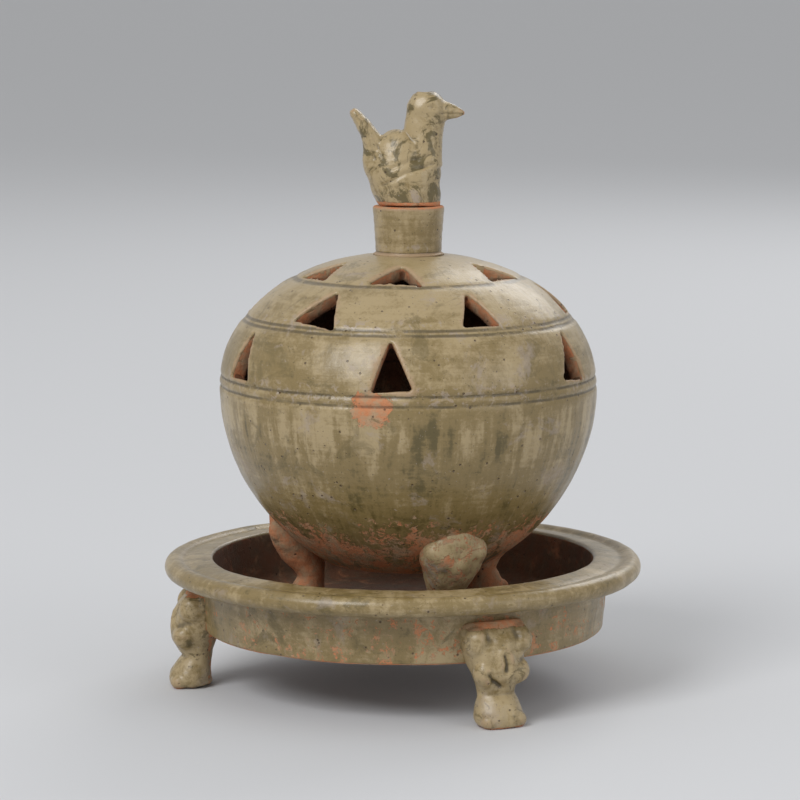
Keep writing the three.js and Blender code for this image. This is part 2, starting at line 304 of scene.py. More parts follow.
class Recipe:
    def __init__(self, name):
        self.material = bpy.data.materials.new(name)
        self.material.use_nodes = True
        self.tree = self.material.node_tree
        self.tree.nodes.clear()

    def node(self, kind, settings=None, values=None, outlet=0):
        made = self.tree.nodes.new(kind)
        for key, setting in (settings or {}).items():
            setattr(made, key, setting)
        for key, value in (values or {}).items():
            socket = made.inputs[key]
            if isinstance(value, Wire):
                self.tree.links.new(value.socket, socket)
            else:
                socket.default_value = value
        return Wire(self, made.outputs[outlet])

    def vector(self, operation, first, second=(0, 0, 0)):
        return self.node("ShaderNodeVectorMath", {"operation": operation}, {0: first, 1: second})

    def grain(self, vector, size, detail=3.0, roughness=0.55, distortion=0.0):
        # size in millimetres
        return self.node("ShaderNodeTexNoise", None, {
            "Vector": vector, "Scale": 1 / (size * mm), "Detail": detail,
            "Roughness": roughness, "Distortion": distortion,
        })

    def cells(self, vector, size):
        return self.node("ShaderNodeTexVoronoi", None, {"Vector": vector, "Scale": 1 / (size * mm)})

    def step(self, value, low, high):
        return self.node("ShaderNodeMapRange", {"interpolation_type": "SMOOTHSTEP"},
                         {"Value": value, "From Min": low, "From Max": high})

    def mix(self, under, over, share):
        under, over = [c if isinstance(c, Wire) else (*c, 1) for c in (under, over)]
        return self.node("ShaderNodeMix", {"data_type": "RGBA"}, {0: share, 6: under, 7: over}, 2)

    def painted(self, label):
        return self.node("ShaderNodeAttribute", {"attribute_name": label}, None, 2)

    def surfaced(self, shader):
        out = self.tree.nodes.new("ShaderNodeOutputMaterial")
        self.tree.links.new(shader.socket, out.inputs["Surface"])
        return self.material


glazeColours = {
    "mid": (0.222, 0.158, 0.060),
    "pale": (0.375, 0.285, 0.150),
    "dark": (0.105, 0.078, 0.023),
    "pooled": (0.050, 0.036, 0.013),
    "clay": (0.520, 0.205, 0.090),
    "buff": (0.400, 0.265, 0.155),
    "worn": (0.400, 0.265, 0.155),
    "bloom": (0.350, 0.285, 0.235),
    # the dark of the painted shade, also given to pits
    "paintedShade": (0.055, 0.028, 0.016),
}
# what a piece's look may change: places, sizes and heights in millimetres, blotchFrom as a value of
# a noise, and the rest as shares
plainLook = {
    "axisX": 0.0, "girth": 60.0, "runStretch": 0.16, "lineStretch": 0.06, "cloud": 30, "patch": 11,
    "runSize": 6.5, "fineRunShare": 0.35, "runs": 0.5, "runFrom": None, "paintedLightAbove": None,
    "lighter": 0.0, "mottle": 0.25, "blotch": 17, "blotchFrom": 0.56, "blotches": 0.4, "blooms": 0.3,
    "wear": 0.65, "grooves": [], "gloss": 0.36, "coat": 0.25, "colours": {},
}
# where each mask starts and is full: millimetres from a height for runStart, runHead, runFoot,
# the painted light on the upper zones, groove and crust, and otherwise values of a noise or field
bands = {
    "mid": (0.22, 0.40), "pale": (0.42, 0.64), "bloom": (0.57, 0.67), "hollow": (-0.08, -0.55),
    "runStart": (6, -10), "runHead": (-26, -6), "runFoot": (-4, -26), "paintedLight": (-14, 12),
    "groove": (0.75, 0.2), "groovePatch": (0.32, 0.52), "crust": (3.2, 0.6), "crustChip": (0.54, 0.62),
    "worn": (0.25, 0.7), "speck": (0.68, 0.74), "paleSpeck": (0.70, 0.75), "bare": (0.47, 0.55),
    "buff": (0.40, 0.64), "stain": (0.57, 0.70), "shadePatch": (0.1, 0.5), "pit": (0.16, 0.07),
    "pitPatch": (0.48, 0.56),
}
# how strongly each goes into the glaze's tone, masks and colours; runMean and blotchEdge are values
# of a noise, and crustRise is in millimetres
glazeMix = {
    "cloud": 0.5, "patches": 0.45, "lines": 0.25, "fineRuns": 0.3, "grit": 0.22, "runMean": 0.47,
    "evenRun": 1.3, "runFoot": 0.45, "runHead": 0.95, "runFade": 0.07, "paintedLight": 0.13,
    "blotchEdge": 0.09, "drift": 0.5, "groove": 0.85, "crustRise": 1.6, "crust": 0.55, "hollow": 0.85,
    "wornGrit": 0.6, "wornChips": 0.7, "speck": 0.7, "paleSpeck": 0.6, "ragged": 0.7,
    "raggedGrit": 0.35, "stain": 0.55, "clayHollowShade": 0.7, "pit": 0.75,
}
reliefDepths = {"fine": 0.10, "patches": 0.22, "bareGrit": 0.25, "bare": 0.16, "pit": 0.35}
# grit, worn and bloom add to the glaze's roughness, clay and coat are roughnesses themselves
roughening = {"grit": 0.22, "worn": 0.2, "bloom": 0.3, "clay": 0.86, "coat": 0.22}
noiseMean = 0.5


def celadon(name, told):
    # thin runny olive glaze over pink-orange clay
    look = {**plainLook, **told}
    r, m = Recipe(name), glazeMix
    c = {**glazeColours, **look["colours"]}
    place = r.node("ShaderNodeTexCoord", None, None, 3)
    centred = r.vector("SUBTRACT", place, (look["axisX"] * mm, 0, 0))
    z = r.node("ShaderNodeSeparateXYZ", None, {0: centred}, 2) / mm
    crest, bareField, paintedShade = [r.painted(label) for label in ("crest", "bare", "paintedShade")]

    def band(value, label, start=0):
        low, high = bands[label]
        return r.step(value, start + low, start + high)

    # round the piece, with the height drawn out, so that runs follow the turning down
    girth = look["girth"] * mm
    outward = r.vector("NORMALIZE", r.vector("MULTIPLY", centred, (1, 1, 0)))
    sides = r.vector("MULTIPLY", outward, (girth, girth, 0))
    tall = r.vector("MULTIPLY", centred, (0, 0, look["runStretch"]))
    runPlace = r.vector("ADD", sides, tall)
    lathed = r.vector("MULTIPLY", centred, (look["lineStretch"], look["lineStretch"], 1))

    cloud = r.grain(place, look["cloud"], detail=4, roughness=0.6)
    patches = r.grain(place, look["patch"], detail=5, roughness=0.65, distortion=0.6)
    runs = r.grain(runPlace, look["runSize"], detail=3, roughness=0.6, distortion=0.25)
    fineRuns = r.grain(runPlace, look["runSize"] * look["fineRunShare"], detail=3, roughness=0.6)
    lines = r.grain(lathed, size=1.7, detail=3, roughness=0.6)
    grit = r.grain(place, size=1.3, detail=4, roughness=0.7)
    dots = r.grain(place, size=0.8, detail=2, roughness=0.5)
    chips = r.grain(place, size=3.2, detail=4, roughness=0.7, distortion=0.8)
    lineSwing, fineSwing, gritSwing, chipSwing, patchSwing = [
        field - noiseMean for field in (lines, fineRuns, grit, chips, patches)
    ]

    runShare, runHead = look["runs"], m["evenRun"]
    if look["runFrom"]:  # runs start below this height
        runShare = band(z, "runStart", look["runFrom"]) * look["runs"]
    tone = m["cloud"] * cloud + m["patches"] * patches + m["lines"] * lineSwing + chipSwing * look["mottle"]
    tone = tone + fineSwing * m["fineRuns"] * runShare + gritSwing * m["grit"] + look["lighter"]
    if look["runFrom"]:  # palest where a run starts, then darker down to the foot
        runHead = m["runFoot"] + band(z, "runHead", look["runFrom"]) * m["runHead"]
        tone = tone - band(z, "runFoot", look["runFrom"]) * m["runFade"]
    tone = tone + (runs - m["runMean"]) * runShare * runHead
    if look["paintedLightAbove"]:  # painted light: the upper zones lighter where the lamp falls on them
        tone = tone + band(z, "paintedLight", look["paintedLightAbove"]) * m["paintedLight"]
    colour = r.mix(c["dark"], c["mid"], band(tone, "mid"))
    colour = r.mix(colour, c["pale"], band(tone, "pale"))

    blotchFrom = look["blotchFrom"]
    blotchNoise = r.grain(place, look["blotch"], detail=5, roughness=0.7, distortion=0.9)
    blotch = r.step(blotchNoise, blotchFrom, blotchFrom + m["blotchEdge"])
    colour = r.mix(colour, c["dark"], blotch * look["blotches"])
    bloomNoise = r.grain(place, size=15, detail=5, roughness=0.7, distortion=0.4)
    bloom = band(bloomNoise, "bloom") * look["blooms"]
    colour = r.mix(colour, c["bloom"], bloom)

    hollow = band(crest, "hollow")
    for height in look["grooves"]:  # glaze pools dark in the turned grooves, with a matt crust above
        drift = (r.grain(place, size=9, detail=2) - noiseMean) * m["drift"]
        inGroove = band(abs(z - height + drift), "groove") * band(patches, "groovePatch")
        hollow = hollow.orMore(inGroove * m["groove"])
        crust = band(abs(z - height - m["crustRise"]), "crust") * band(chips, "crustChip")
        colour = r.mix(colour, c["bloom"], crust * m["crust"])
    colour = r.mix(colour, c["pooled"], hollow * m["hollow"])

    worn = band(crest + gritSwing * m["wornGrit"] + chipSwing * m["wornChips"], "worn")
    colour = r.mix(colour, c["worn"], worn * look["wear"])
    colour = r.mix(colour, c["pooled"], band(dots, "speck") * m["speck"])
    paleDots = r.grain(place, size=1.1, detail=2, roughness=0.5, distortion=0.2)
    colour = r.mix(colour, c["bloom"], band(paleDots, "paleSpeck") * m["paleSpeck"])

    ragged = bareField + patchSwing * m["ragged"] + chipSwing * m["ragged"] + gritSwing * m["raggedGrit"]
    bare = band(ragged, "bare")
    clay = r.mix(c["clay"], c["buff"], band(r.grain(place, size=7, detail=5, roughness=0.7), "buff"))
    stainNoise = r.grain(place, size=4.5, detail=5, roughness=0.75, distortion=0.5)
    clay = r.mix(clay, c["dark"], band(stainNoise, "stain") * m["stain"])
    # painted shade: the bare clay darker in the hollows and grooves
    clay = r.mix(clay, c["paintedShade"], hollow * m["clayHollowShade"])
    # painted shade: the clay darkened in patches where the piece's shade values say
    clay = r.mix(clay, c["paintedShade"], paintedShade * band(patches, "shadePatch"))
    colour = r.mix(colour, clay, bare)

    pits = band(r.cells(place, size=3.4), "pit") * band(r.grain(place, size=6, detail=1), "pitPatch")
    colour = r.mix(colour, c["paintedShade"], pits * m["pit"])

    d, rough, sheen = reliefDepths, roughening, look["gloss"]
    relief = lineSwing * d["fine"] + fineSwing * d["fine"] + gritSwing * d["fine"]
    relief = relief + patchSwing * d["patches"] + bare * gritSwing * d["bareGrit"]
    relief = relief - bare * d["bare"] - pits * d["pit"]
    normal = r.node("ShaderNodeBump", None, {"Strength": 1.0, "Distance": mm, "Height": relief})
    roughness = sheen + gritSwing * rough["grit"] + worn * rough["worn"] + bloom * rough["bloom"]
    roughness = roughness + bare * (rough["clay"] - sheen)
    shader = r.node("ShaderNodeBsdfPrincipled", None, {
        "Base Color": colour, "Roughness": roughness, "Normal": normal,
        "Coat Weight": (1 - bare) * look["coat"], "Coat Roughness": rough["coat"],
    })
    return r.surfaced(shader)


# Globe

globe = {
    "radius": 70.7, "widest": 113, "lowerReach": 74.2, "upperReach": 50.3,
    "lowerSquare": 1.92, "upperSquare": 2.11, "wall": 6, "base": 47, "crownRadius": 14, "bore": 7.6,
    "grooves": [114.2, 117.7, 138.5, 140.1, 154], "grooveWidth": 1.5, "grooveDepth": 0.85,
    "grooveSpread": 0.42, "grooveSteps": (-0.6, -0.3, 0, 0.3, 0.6),
    "rows": 90, "sides": 192, "voxel": 0.75, "cutDepth": 22.0,
    # windows by row: base and apex heights, then azimuth from the front, width and lean
    "windows": [
        (119.9, 137.6, [(-5.4, 15.4, -1), (60.5, 15.7, 2), (120, 15, 0), (178, 16, -1), (238, 15, 1),
                        (297.5, 14.5, 0)]),
        (141.6, 152.4, [(-35.2, 19.5, 2), (26.5, 15.6, 0), (87, 17, 1), (147, 18, -1), (207, 17, 0),
                        (266, 18, 0)]),
        (155.3, 160.4, [(-6.5, 20.5, 1), (62, 20, 1), (119, 19, 0), (179, 20, -1), (238, 19, 1),
                        (298, 18, -1)]),
    ],
    # unevenness as (size, seed, depth); that of the runs is drawn out upwards and grows over runBand
    "waves": [(34, 1, 0.35), (9, 2, 0.09)], "runWaves": [(6.5, 3, 0.22)], "lumps": [(5, 4, 0.12)],
    "runGirth": 68, "runStretch": 0.12, "runBand": (112, 96), "runFrom": 112, "paintedLightAbove": 138,
    # the flake of bare clay, in half sizes from its centre
    "flakeCentre": (-13.5, 113.4), "flakeHalf": (7.4, 6.2), "flakeFade": 0.5, "flakeEdge": (2.0, 1.2),
    # depths under the outer face, and heights, where each starts and is full
    "outerSkin": (1.2, 0.3), "footEdge": (47.2, 48.2), "innerClay": (0.5, 1.5), "lowClay": (92, 58),
    "lowClayShare": 0.54, "innerShade": (4.0, 5.6), "innerShadeShare": 0.75,
}


def globeSide(height):
    side = "upper" if height > globe["widest"] else "lower"
    return globe[side + "Reach"], globe[side + "Square"]


def globeRadiusAt(height, inset=0.0):
    reach, square = globeSide(height)
    share = min(abs(height - globe["widest"]) / (reach - inset), 1)
    return (globe["radius"] - inset) * (1 - share**square) ** (1 / square)


def globeTopAt(radius, inset=0.0):
    share = radius / (globe["radius"] - inset)
    square = globe["upperSquare"]
    return globe["widest"] + (globe["upperReach"] - inset) * (1 - share**square) ** (1 / square)


def globeLevel(points):
    # 1 on the outer face, less inside
    radius = np.hypot(points[:, 0] - burnerAxis, points[:, 1])
    rise = points[:, 2] - globe["widest"]
    reach = np.where(rise > 0, globe["upperReach"], globe["lowerReach"])
    square = np.where(rise > 0, globe["upperSquare"], globe["lowerSquare"])
    return ((radius / globe["radius"]) ** square + (np.abs(rise) / reach) ** square) ** (1 / square)


def globeProfile():
    def heights(low, high, inset):
        angles = []
        for height in (low, high):
            reach = globeSide(height)[0] - inset
            angles.append(math.asin(max(-1, min(1, (height - globe["widest"]) / reach))))
        made = []
        for angle in np.linspace(*angles, globe["rows"]):
            reach = (globe["upperReach"] if angle > 0 else globe["lowerReach"]) - inset
            made.append(globe["widest"] + reach * math.sin(angle))
        return made

    base, wall, bore = globe["base"], globe["wall"], globe["bore"]
    top = globeTopAt(globe["crownRadius"])
    depth, width = globe["grooveDepth"], globe["grooveWidth"]
    spread = width * globe["grooveSpread"]
    levels = heights(base, top, 0)
    for groove in globe["grooves"]:
        levels += [groove + width * share for share in globe["grooveSteps"]]
    outer = []
    for height in sorted(levels):
        cut = sum(depth * math.exp(-((height - g) / spread) ** 2) for g in globe["grooves"])
        outer.append((globeRadiusAt(height) - cut, height))
    underside = globeTopAt(bore, wall)
    inner = [(globeRadiusAt(h, wall), h) for h in heights(base + wall, underside, wall)]
    inner[-1] = (bore, underside)
    return [(0, base), *outer, (bore, top), *inner[::-1], (0, base + wall)]


def windowMarks():
    # one point for each window, holding how its cutter is turned and stretched; the cutter is a
    # three-sided prism of radius 1, which is 1.5 high and the square root of 3 wide
    spots, turns, sizes = [], [], []
    for base, apex, row in globe["windows"]:
        foot = Vector((globeRadiusAt(base), base))
        peak = Vector((globeRadiusAt(apex), apex))
        rise = (peak - foot).length
        centre = foot.lerp(peak, 1 / 3)
        for azimuth, width, lean in row:
            angle = math.radians(azimuth)
            outward = Vector((math.sin(angle), -math.cos(angle), 0))
            up = (outward * (peak - foot).x + Vector((0, 0, (peak - foot).y))).normalized()
            across = Vector((math.cos(angle), math.sin(angle), 0))
            square = across.cross(up)
            facing = Matrix((up, square.cross(up), square)).transposed()
            facing = facing @ Matrix.Rotation(-math.atan2(lean, rise), 3, "Z")
            spot = outward * centre.x + Vector((burnerAxis, 0, centre.y))
            spots.append(spot * mm)
            turns += list(facing.to_euler())
            sizes += [rise / 1.5 * mm, width / math.sqrt(3) * mm, mm]
    mesh = bpy.data.meshes.new("windowMarks")
    mesh.from_pydata(spots, [], [])
    for label, values in (("facing", turns), ("stretch", sizes)):
        mesh.attributes.new(label, "FLOAT_VECTOR", "POINT").data.foreach_set("vector", values)
    marks = bpy.data.objects.new("windowMarks", mesh)
    bpy.context.scene.collection.objects.link(marks)
    return marks


def windowTree():
    tree = bpy.data.node_groups.new("cutWindows", "GeometryNodeTree")
    sockets = [
        ("Geometry", "INPUT", "Geometry"), ("Marks", "INPUT", "Object"), ("Window Size", "INPUT", "Float"),
        ("Cut Depth", "INPUT", "Float"), ("Glaze", "INPUT", "Material"), ("Geometry", "OUTPUT", "Geometry"),
    ]
    for label, way, kind in sockets:
        tree.interface.new_socket(label, in_out=way, socket_type="NodeSocket" + kind)

    def add(kind, **settings):
        made = tree.nodes.new(kind)
        for key, value in settings.items():
            setattr(made, key, value)
        return made

    def held(label):
        made = add("GeometryNodeInputNamedAttribute", data_type="FLOAT_VECTOR")
        made.inputs["Name"].default_value = label
        return made

    given, out = add("NodeGroupInput"), add("NodeGroupOutput")
    marks = add("GeometryNodeObjectInfo")
    prism = add("GeometryNodeMeshCylinder")
    prism.inputs["Vertices"].default_value = 3
    prism.inputs["Radius"].default_value = 1
    facing, stretch = held("facing"), held("stretch")
    spin = add("FunctionNodeEulerToRotation")
    size = add("ShaderNodeCombineXYZ")
    scale = add("ShaderNodeVectorMath", operation="MULTIPLY")
    place = add("GeometryNodeInstanceOnPoints")
    cutters = add("GeometryNodeRealizeInstances")
    cut = add("GeometryNodeMeshBoolean", operation="DIFFERENCE", solver="EXACT")
    real = add("GeometryNodeRealizeInstances")
    paint = add("GeometryNodeSetMaterial")
    join = tree.links.new
    join(given.outputs["Marks"], marks.inputs["Object"])
    join(given.outputs["Window Size"], size.inputs["X"])
    join(given.outputs["Window Size"], size.inputs["Y"])
    join(given.outputs["Cut Depth"], size.inputs["Z"])
    join(facing.outputs["Attribute"], spin.inputs[0])
    join(stretch.outputs["Attribute"], scale.inputs[0])
    join(size.outputs[0], scale.inputs[1])
    join(marks.outputs["Geometry"], place.inputs["Points"])
    join(prism.outputs["Mesh"], place.inputs["Instance"])
    join(spin.outputs[0], place.inputs["Rotation"])
    join(scale.outputs[0], place.inputs["Scale"])
    join(place.outputs[0], cutters.inputs[0])
    join(given.outputs["Geometry"], cut.inputs["Mesh 1"])
    join(cutters.outputs[0], cut.inputs["Mesh 2"])
    join(cut.outputs[0], real.inputs[0])
    join(real.outputs[0], paint.inputs["Geometry"])
    join(given.outputs["Glaze"], paint.inputs["Material"])
    join(paint.outputs[0], out.inputs[0])
    return tree


def makeGlobe():
    glaze = celadon("globeGlaze", {
        "axisX": burnerAxis, "girth": globe["runGirth"], "runs": 1.0, "runFrom": globe["runFrom"],
        "paintedLightAbove": globe["paintedLightAbove"], "grooves": globe["grooves"], "blotches": 0.45, "blooms": 0.5,
    })
    shape = bmesh.new()
    turn(shape, globeProfile(), globe["sides"], burnerAxis)
    piece = pieceFrom("burner_globe", shape)
    marks = windowMarks()
    tree = windowTree()
    cutting = piece.modifiers.new("windows", "NODES")
    cutting.node_group = tree
    wanted = {"Marks": marks, "Window Size": 1.0, "Cut Depth": globe["cutDepth"], "Glaze": glaze}
    for socket in tree.interface.items_tree:
        if socket.in_out == "INPUT" and socket.name in wanted:
            cutting[socket.identifier] = wanted[socket.name]
    settled(piece)
    bpy.data.objects.remove(marks)
    newSkin(piece, globe["voxel"])

    points, normals = pointsOf(piece), normalsOf(piece)
    x, z = points[:, 0] - burnerAxis, points[:, 2]
    level = globeLevel(points)
    centre = np.array([burnerAxis, 0, globe["widest"]])
    deep = np.linalg.norm(points - centre, axis=1) * (1 / np.maximum(level, 0.05) - 1)
    outside = ramp(deep, *globe["outerSkin"]) * ramp(z, *globe["footEdge"])
    drawn = np.column_stack([x, points[:, 1], z * globe["runStretch"]])
    around = np.maximum(np.linalg.norm(drawn[:, :2], axis=1), 1)
    drawn[:, :2] *= (globe["runGirth"] / around)[:, None]
    relief = waves(points, globe["waves"]) + waves(drawn, globe["runWaves"]) * ramp(z, *globe["runBand"])
    lumpy = waves(points, globe["lumps"])
    putPoints(piece, points + normals * (relief * outside)[:, None] + normals * lumpy[:, None])

    flakeX, flakeZ = globe["flakeCentre"]
    halfX, halfZ = globe["flakeHalf"]
    away = np.hypot((x - flakeX) / halfX, (z - flakeZ) / halfZ)
    flake = (1 - globe["flakeFade"] * away) * ramp(away, *globe["flakeEdge"])
    bare = np.maximum.reduce([
        ramp(deep, *globe["innerClay"]), np.where(points[:, 1] < 0, flake, 0),
        ramp(z, *globe["lowClay"]) * globe["lowClayShare"], ramp(z, *globe["footEdge"][::-1]),
    ])
    # painted shade on the inner faces that show through the windows
    paintedShade = ramp(deep, *globe["innerShade"]) * globe["innerShadeShare"]
    dress(piece, glaze, "burner", ["burner_bowl", "burner_dome"], bare, paintedShade)


# Neck

neck = {
    "foot": 12.3, "top": 13.3, "bore": 7.6, "ringPitch": 3.4, "ringDepth": 0.04, "sides": 96,
    "rows": 46, "boreRows": 16, "footRise": 1.4, "endsLength": 2.0, "flare": 1.3, "grooveRise": 1.0,
    "waves": [(8, 11, 0.18)], "calmLip": 2, "bareLip": (0.9, 0.2), "boreSkin": 0.8, "boreShade": 0.6,
}


def makeNeck():
    low, high = neckLow.z, neckHigh.z
    footRadius, topRadius, bore = neck["foot"], neck["top"], neck["bore"]
    outer = []
    for up in np.linspace(0, 1, neck["rows"]):
        height = low + neck["footRise"] + up * (high - low - neck["endsLength"])
        radius = footRadius + (topRadius - footRadius) * up ** neck["flare"]
        ring = neck["ringDepth"] * math.cos(height * 2 * math.pi / neck["ringPitch"])
        outer.append((radius - ring, height))
    inner = [(bore, height) for height in np.linspace(high, low, neck["boreRows"])]
    lip = [(topRadius - 0.5, high - 0.1), (topRadius - 1.3, high), (bore + 0.5, high)]
    foot = [(footRadius + 1.0, low), (footRadius + 0.5, low + 0.5), (footRadius - 0.2, low + 1.0)]
    shape = bmesh.new()
    turn(shape, [*foot, *outer, *lip, *inner], neck["sides"], burnerAxis, closed=True)
    piece = pieceFrom("burner_neck_tube", shape)
    points, normals = pointsOf(piece), normalsOf(piece)
    z = points[:, 2]
    lumpy = waves(points, neck["waves"]) * ramp(z, high, high - neck["calmLip"])
    putPoints(piece, points + normals * lumpy[:, None])
    inside = np.hypot(points[:, 0] - burnerAxis, points[:, 1]) < bore + neck["boreSkin"]
    bare = np.where(inside, 1.0, ramp(z, *[high - drop for drop in neck["bareLip"]]))
    glaze = celadon("neckGlaze", {
        "axisX": burnerAxis, "girth": 13, "runs": 0.35, "blotches": 0.3,
        "grooves": [low + neck["grooveRise"]], "blooms": 0.25,
    })
    # painted shade inside the bore
    paintedShade = np.where(inside, neck["boreShade"], 0.0)
    dress(piece, glaze, "burner", ["burner_neck"], bare, paintedShade)


# Tray

tray = {
    "rimInset": 0.35, "rimDrop": 0.25, "rimThickness": 7.2, "mouth": 71.6, "wallTop": 77,
    "wallFoot": 75.4, "underside": 22, "floor": 28, "fillet": 5, "corner": 1.4, "dish": 0.95,
    "bead": 3.6, "rimHollow": 79.4, "rimInner": 75, "sides": 288, "step": 1.5,
    "waves": [(30, 21, 0.3), (7, 22, 0.13)], "floorSkin": 0.2,
    # radii and drops where bare clay starts and is full, the radius and height it fills the basin to,
    # its shares, and the share of painted shade over the basin
    "basin": (73.4, 71.8), "basinDrop": (0.3, 1.6), "basinInside": (71, 46), "wallDrop": (1, 3),
    "wallClay": 0.42, "thinClay": 0.24, "undersideSkin": 0.6, "basinShade": 0.85,
}


def arc(x, z, radius, start, end, steps):
    return [(x + radius * math.cos(math.radians(a)), z + radius * math.sin(math.radians(a)))
            for a in np.linspace(start, end, steps + 1)]


def makeTray():
    t, corner, fillet = tray, tray["corner"], tray["fillet"]
    rim, top = trayRim.x - t["rimInset"], trayRim.z - t["rimDrop"]
    rimBase, edge = top - t["rimThickness"], t["rimThickness"] / 2
    outline = [
        (0, t["underside"]),
        (t["wallFoot"] - 1.6, t["underside"]),
        *arc(t["wallFoot"] - corner, t["underside"] + corner, corner, -80, 0, 5),
        (t["wallTop"] - 0.1, rimBase - corner),
        (t["wallTop"] + 0.3, rimBase - 0.4),
        (t["wallTop"] + corner, rimBase),
        *arc(rim - edge, rimBase + edge, edge, -90, 90, 16),
        (rim - edge - 1.5, top - 0.15),
        (rim - edge - 2.6, top - 0.75),
        (rim - edge - t["bead"], top - t["dish"] - 0.3),
        (rim - edge - t["bead"] - corner, top - t["dish"]),
        (t["rimHollow"], top - t["dish"] * 0.6),
        (t["rimInner"], top - 0.1),
        *arc(t["mouth"] + corner, top - corner, corner, 90, 180, 6),
        (t["mouth"] - 0.6, rimBase),
        *arc(t["mouth"] - 1.6 - fillet, t["floor"] + fillet, fillet, 0, -90, 8),
        (0, t["floor"]),
    ]
    profile = []
    for (r1, z1), (r2, z2) in zip(outline, outline[1:]):
        steps = max(1, round(math.hypot(r2 - r1, z2 - z1) / t["step"]))
        profile += [(r1 + (r2 - r1) * k / steps, z1 + (z2 - z1) * k / steps) for k in range(steps)]
    profile.append(outline[-1])
    shape = bmesh.new()
    turn(shape, profile, t["sides"])
    piece = pieceFrom("tray_basin", shape)
    points, normals = pointsOf(piece), normalsOf(piece)
    radius, z = np.hypot(points[:, 0], points[:, 1]), points[:, 2]
    relief = waves(points, t["waves"])
    # from the floor down it only goes inwards
    relief = np.where(z < t["floor"] + t["floorSkin"], np.minimum(relief, 0), relief)
    putPoints(piece, points + normals * relief[:, None])

    insideRadius, insideHeight = t["basinInside"]
    basin = ramp(radius, *t["basin"]) * ramp(z, *[top - drop for drop in t["basinDrop"]])
    basin = np.maximum(basin, np.where((radius < insideRadius) & (z < insideHeight), 1, 0))
    wall = ramp(z, *[rimBase - drop for drop in t["wallDrop"]]) * t["wallClay"]
    under = np.where(z < t["underside"] + t["undersideSkin"], 1, 0)
    bare = np.maximum.reduce([basin, wall, under, np.full(len(z), t["thinClay"])])
    glaze = celadon("trayGlaze", {
        "girth": 80, "runs": 0.35, "runSize": 8, "blotches": 0.6, "blooms": 0.4, "cloud": 26,
        "mottle": 0.45,
    })
    # painted shade over the basin, which lies under the globe
    paintedShade = basin * t["basinShade"]
    dress(piece, glaze, "tray", ["tray_dish"], bare, paintedShade, crestSize=1.6)


# Beast feet, drawn with x outwards from the axis that they stand round, y across and z up

footSkin = {
    # front is how far a normal points outwards where the pressed lines start and are full
    "voxel": 0.6, "softening": 3, "front": (0.05, 0.45), "waves": [(6, 0.35), (2.4, 0.14)], "seedStep": 5,
}
trayFoot = {
    "azimuths": {"front": 25, "left": -85, "rear": 145}, "firstSeed": 31,
    "column": [
        (80.4, 0.5, 7.8, 8.2), (80.4, 3.0, 8.4, 9.2), (79.3, 7.0, 7.0, 8.5), (78.0, 11.4, 5.6, 7.1),
        (78.3, 15.4, 7.2, 7.8), (78.6, 20.6, 9.6, 9.8), (77.4, 26.0, 9.8, 11.6), (75.8, 31.0, 8.4, 12.9),
        (74.8, 35.2, 6.6, 12.2), (74.4, 36.6, 6.0, 11.2),
    ],
    "lumps": [
        ((84.6, -4.8, 2.6), (3.6, 4.2, 3.2)), ((84.6, 4.8, 2.6), (3.6, 4.2, 3.2)),
        ((79.4, -8.2, 30.6), (5.6, 5.0, 5.8)), ((79.4, 8.2, 30.6), (5.6, 5.0, 5.8)),
        ((83.8, 0, 24.0), (4.6, 5.4, 7.0)), ((82.6, -5.8, 20.0), (4.8, 5.0, 5.0)),
        ((82.6, 5.8, 20.0), (4.8, 5.0, 5.0)),
    ],
    # lines pressed into the front: points as (across, up), width and depth
    "slits": [
        ([(-0.6, 26.4), (0.4, 23), (0, 21)], 1.3, 2.0),
        ([(-6.6, 19.6), (-4.4, 16.6), (-1.4, 14.4)], 1.1, 1.8),
        ([(-5.6, 33), (-3.4, 29), (-4.6, 25)], 1.8, 0.7), ([(5.8, 33), (3.6, 29.4), (4.8, 25)], 1.8, 0.7),
        ([(10.6, 25.6), (7.2, 24.4)], 1.4, 0.6), ([(-0.4, 0), (0, 6.4)], 1.6, 0.7),
    ],
    "sink": 0.15,  # the slip that joins a foot to the tray fills its gap
    # heights where bare clay starts and is full, and its shares
    "thinClay": 0.22, "top": (34.5, 36.4), "topClay": 0.6, "sole": (1.4, 0.2), "soleClay": 0.5,
    "backReach": 74, "backClay": 0.5,
}
burnerFoot = {
    "azimuths": {"front": 21, "left": -101, "rear": 132}, "firstSeed": 51,
    "column": [
        (39.2, 0.5, 6.6, 7.6), (39.3, 3.0, 7.1, 8.5), (38.4, 7.0, 6.0, 7.8), (37.4, 11.2, 4.9, 6.8),
        (38.6, 15.6, 6.4, 7.8), (41.0, 21.2, 8.8, 10.2), (43.6, 27.0, 9.4, 12.4), (46.2, 32.0, 8.2, 12.2),
        (49.0, 36.2, 5.6, 7.6), (50.8, 38.8, 3.2, 4.0),
    ],
    "lumps": [
        ((44.6, -4.8, 2.8), (2.6, 2.8, 3.3)), ((45.2, 0, 3.0), (2.6, 2.8, 3.6)),
        ((44.6, 4.8, 2.8), (2.6, 2.8, 3.3)), ((47.4, -7.6, 29.6), (4.6, 4.8, 5.6)),
        ((47.4, 7.6, 29.6), (4.6, 4.8, 5.6)), ((47.8, 0, 24.4), (4.2, 5.2, 6.6)),
    ],
    "slits": [
        ([(-1.4, 36), (0.2, 31), (-0.6, 27)], 2.0, 0.7), ([(6.4, 25.6), (4.2, 20.4)], 1.6, 0.6),
        ([(-0.4, 0), (0, 6)], 1.5, 0.6), ([(-5.4, 22), (-3, 17.4)], 1.4, 0.6),
    ],
    "crispness": {"front": 1.0, "left": 0.2, "rear": 0.5},
    "clayShare": {"front": 0.46, "left": 0.85, "rear": 0.65},
    "globeLevel": 0.997,  # a foot ends just inside the globe's outer face
    # painted shade on the feet, which stand under the globe
    "paintedShade": 0.15,
}


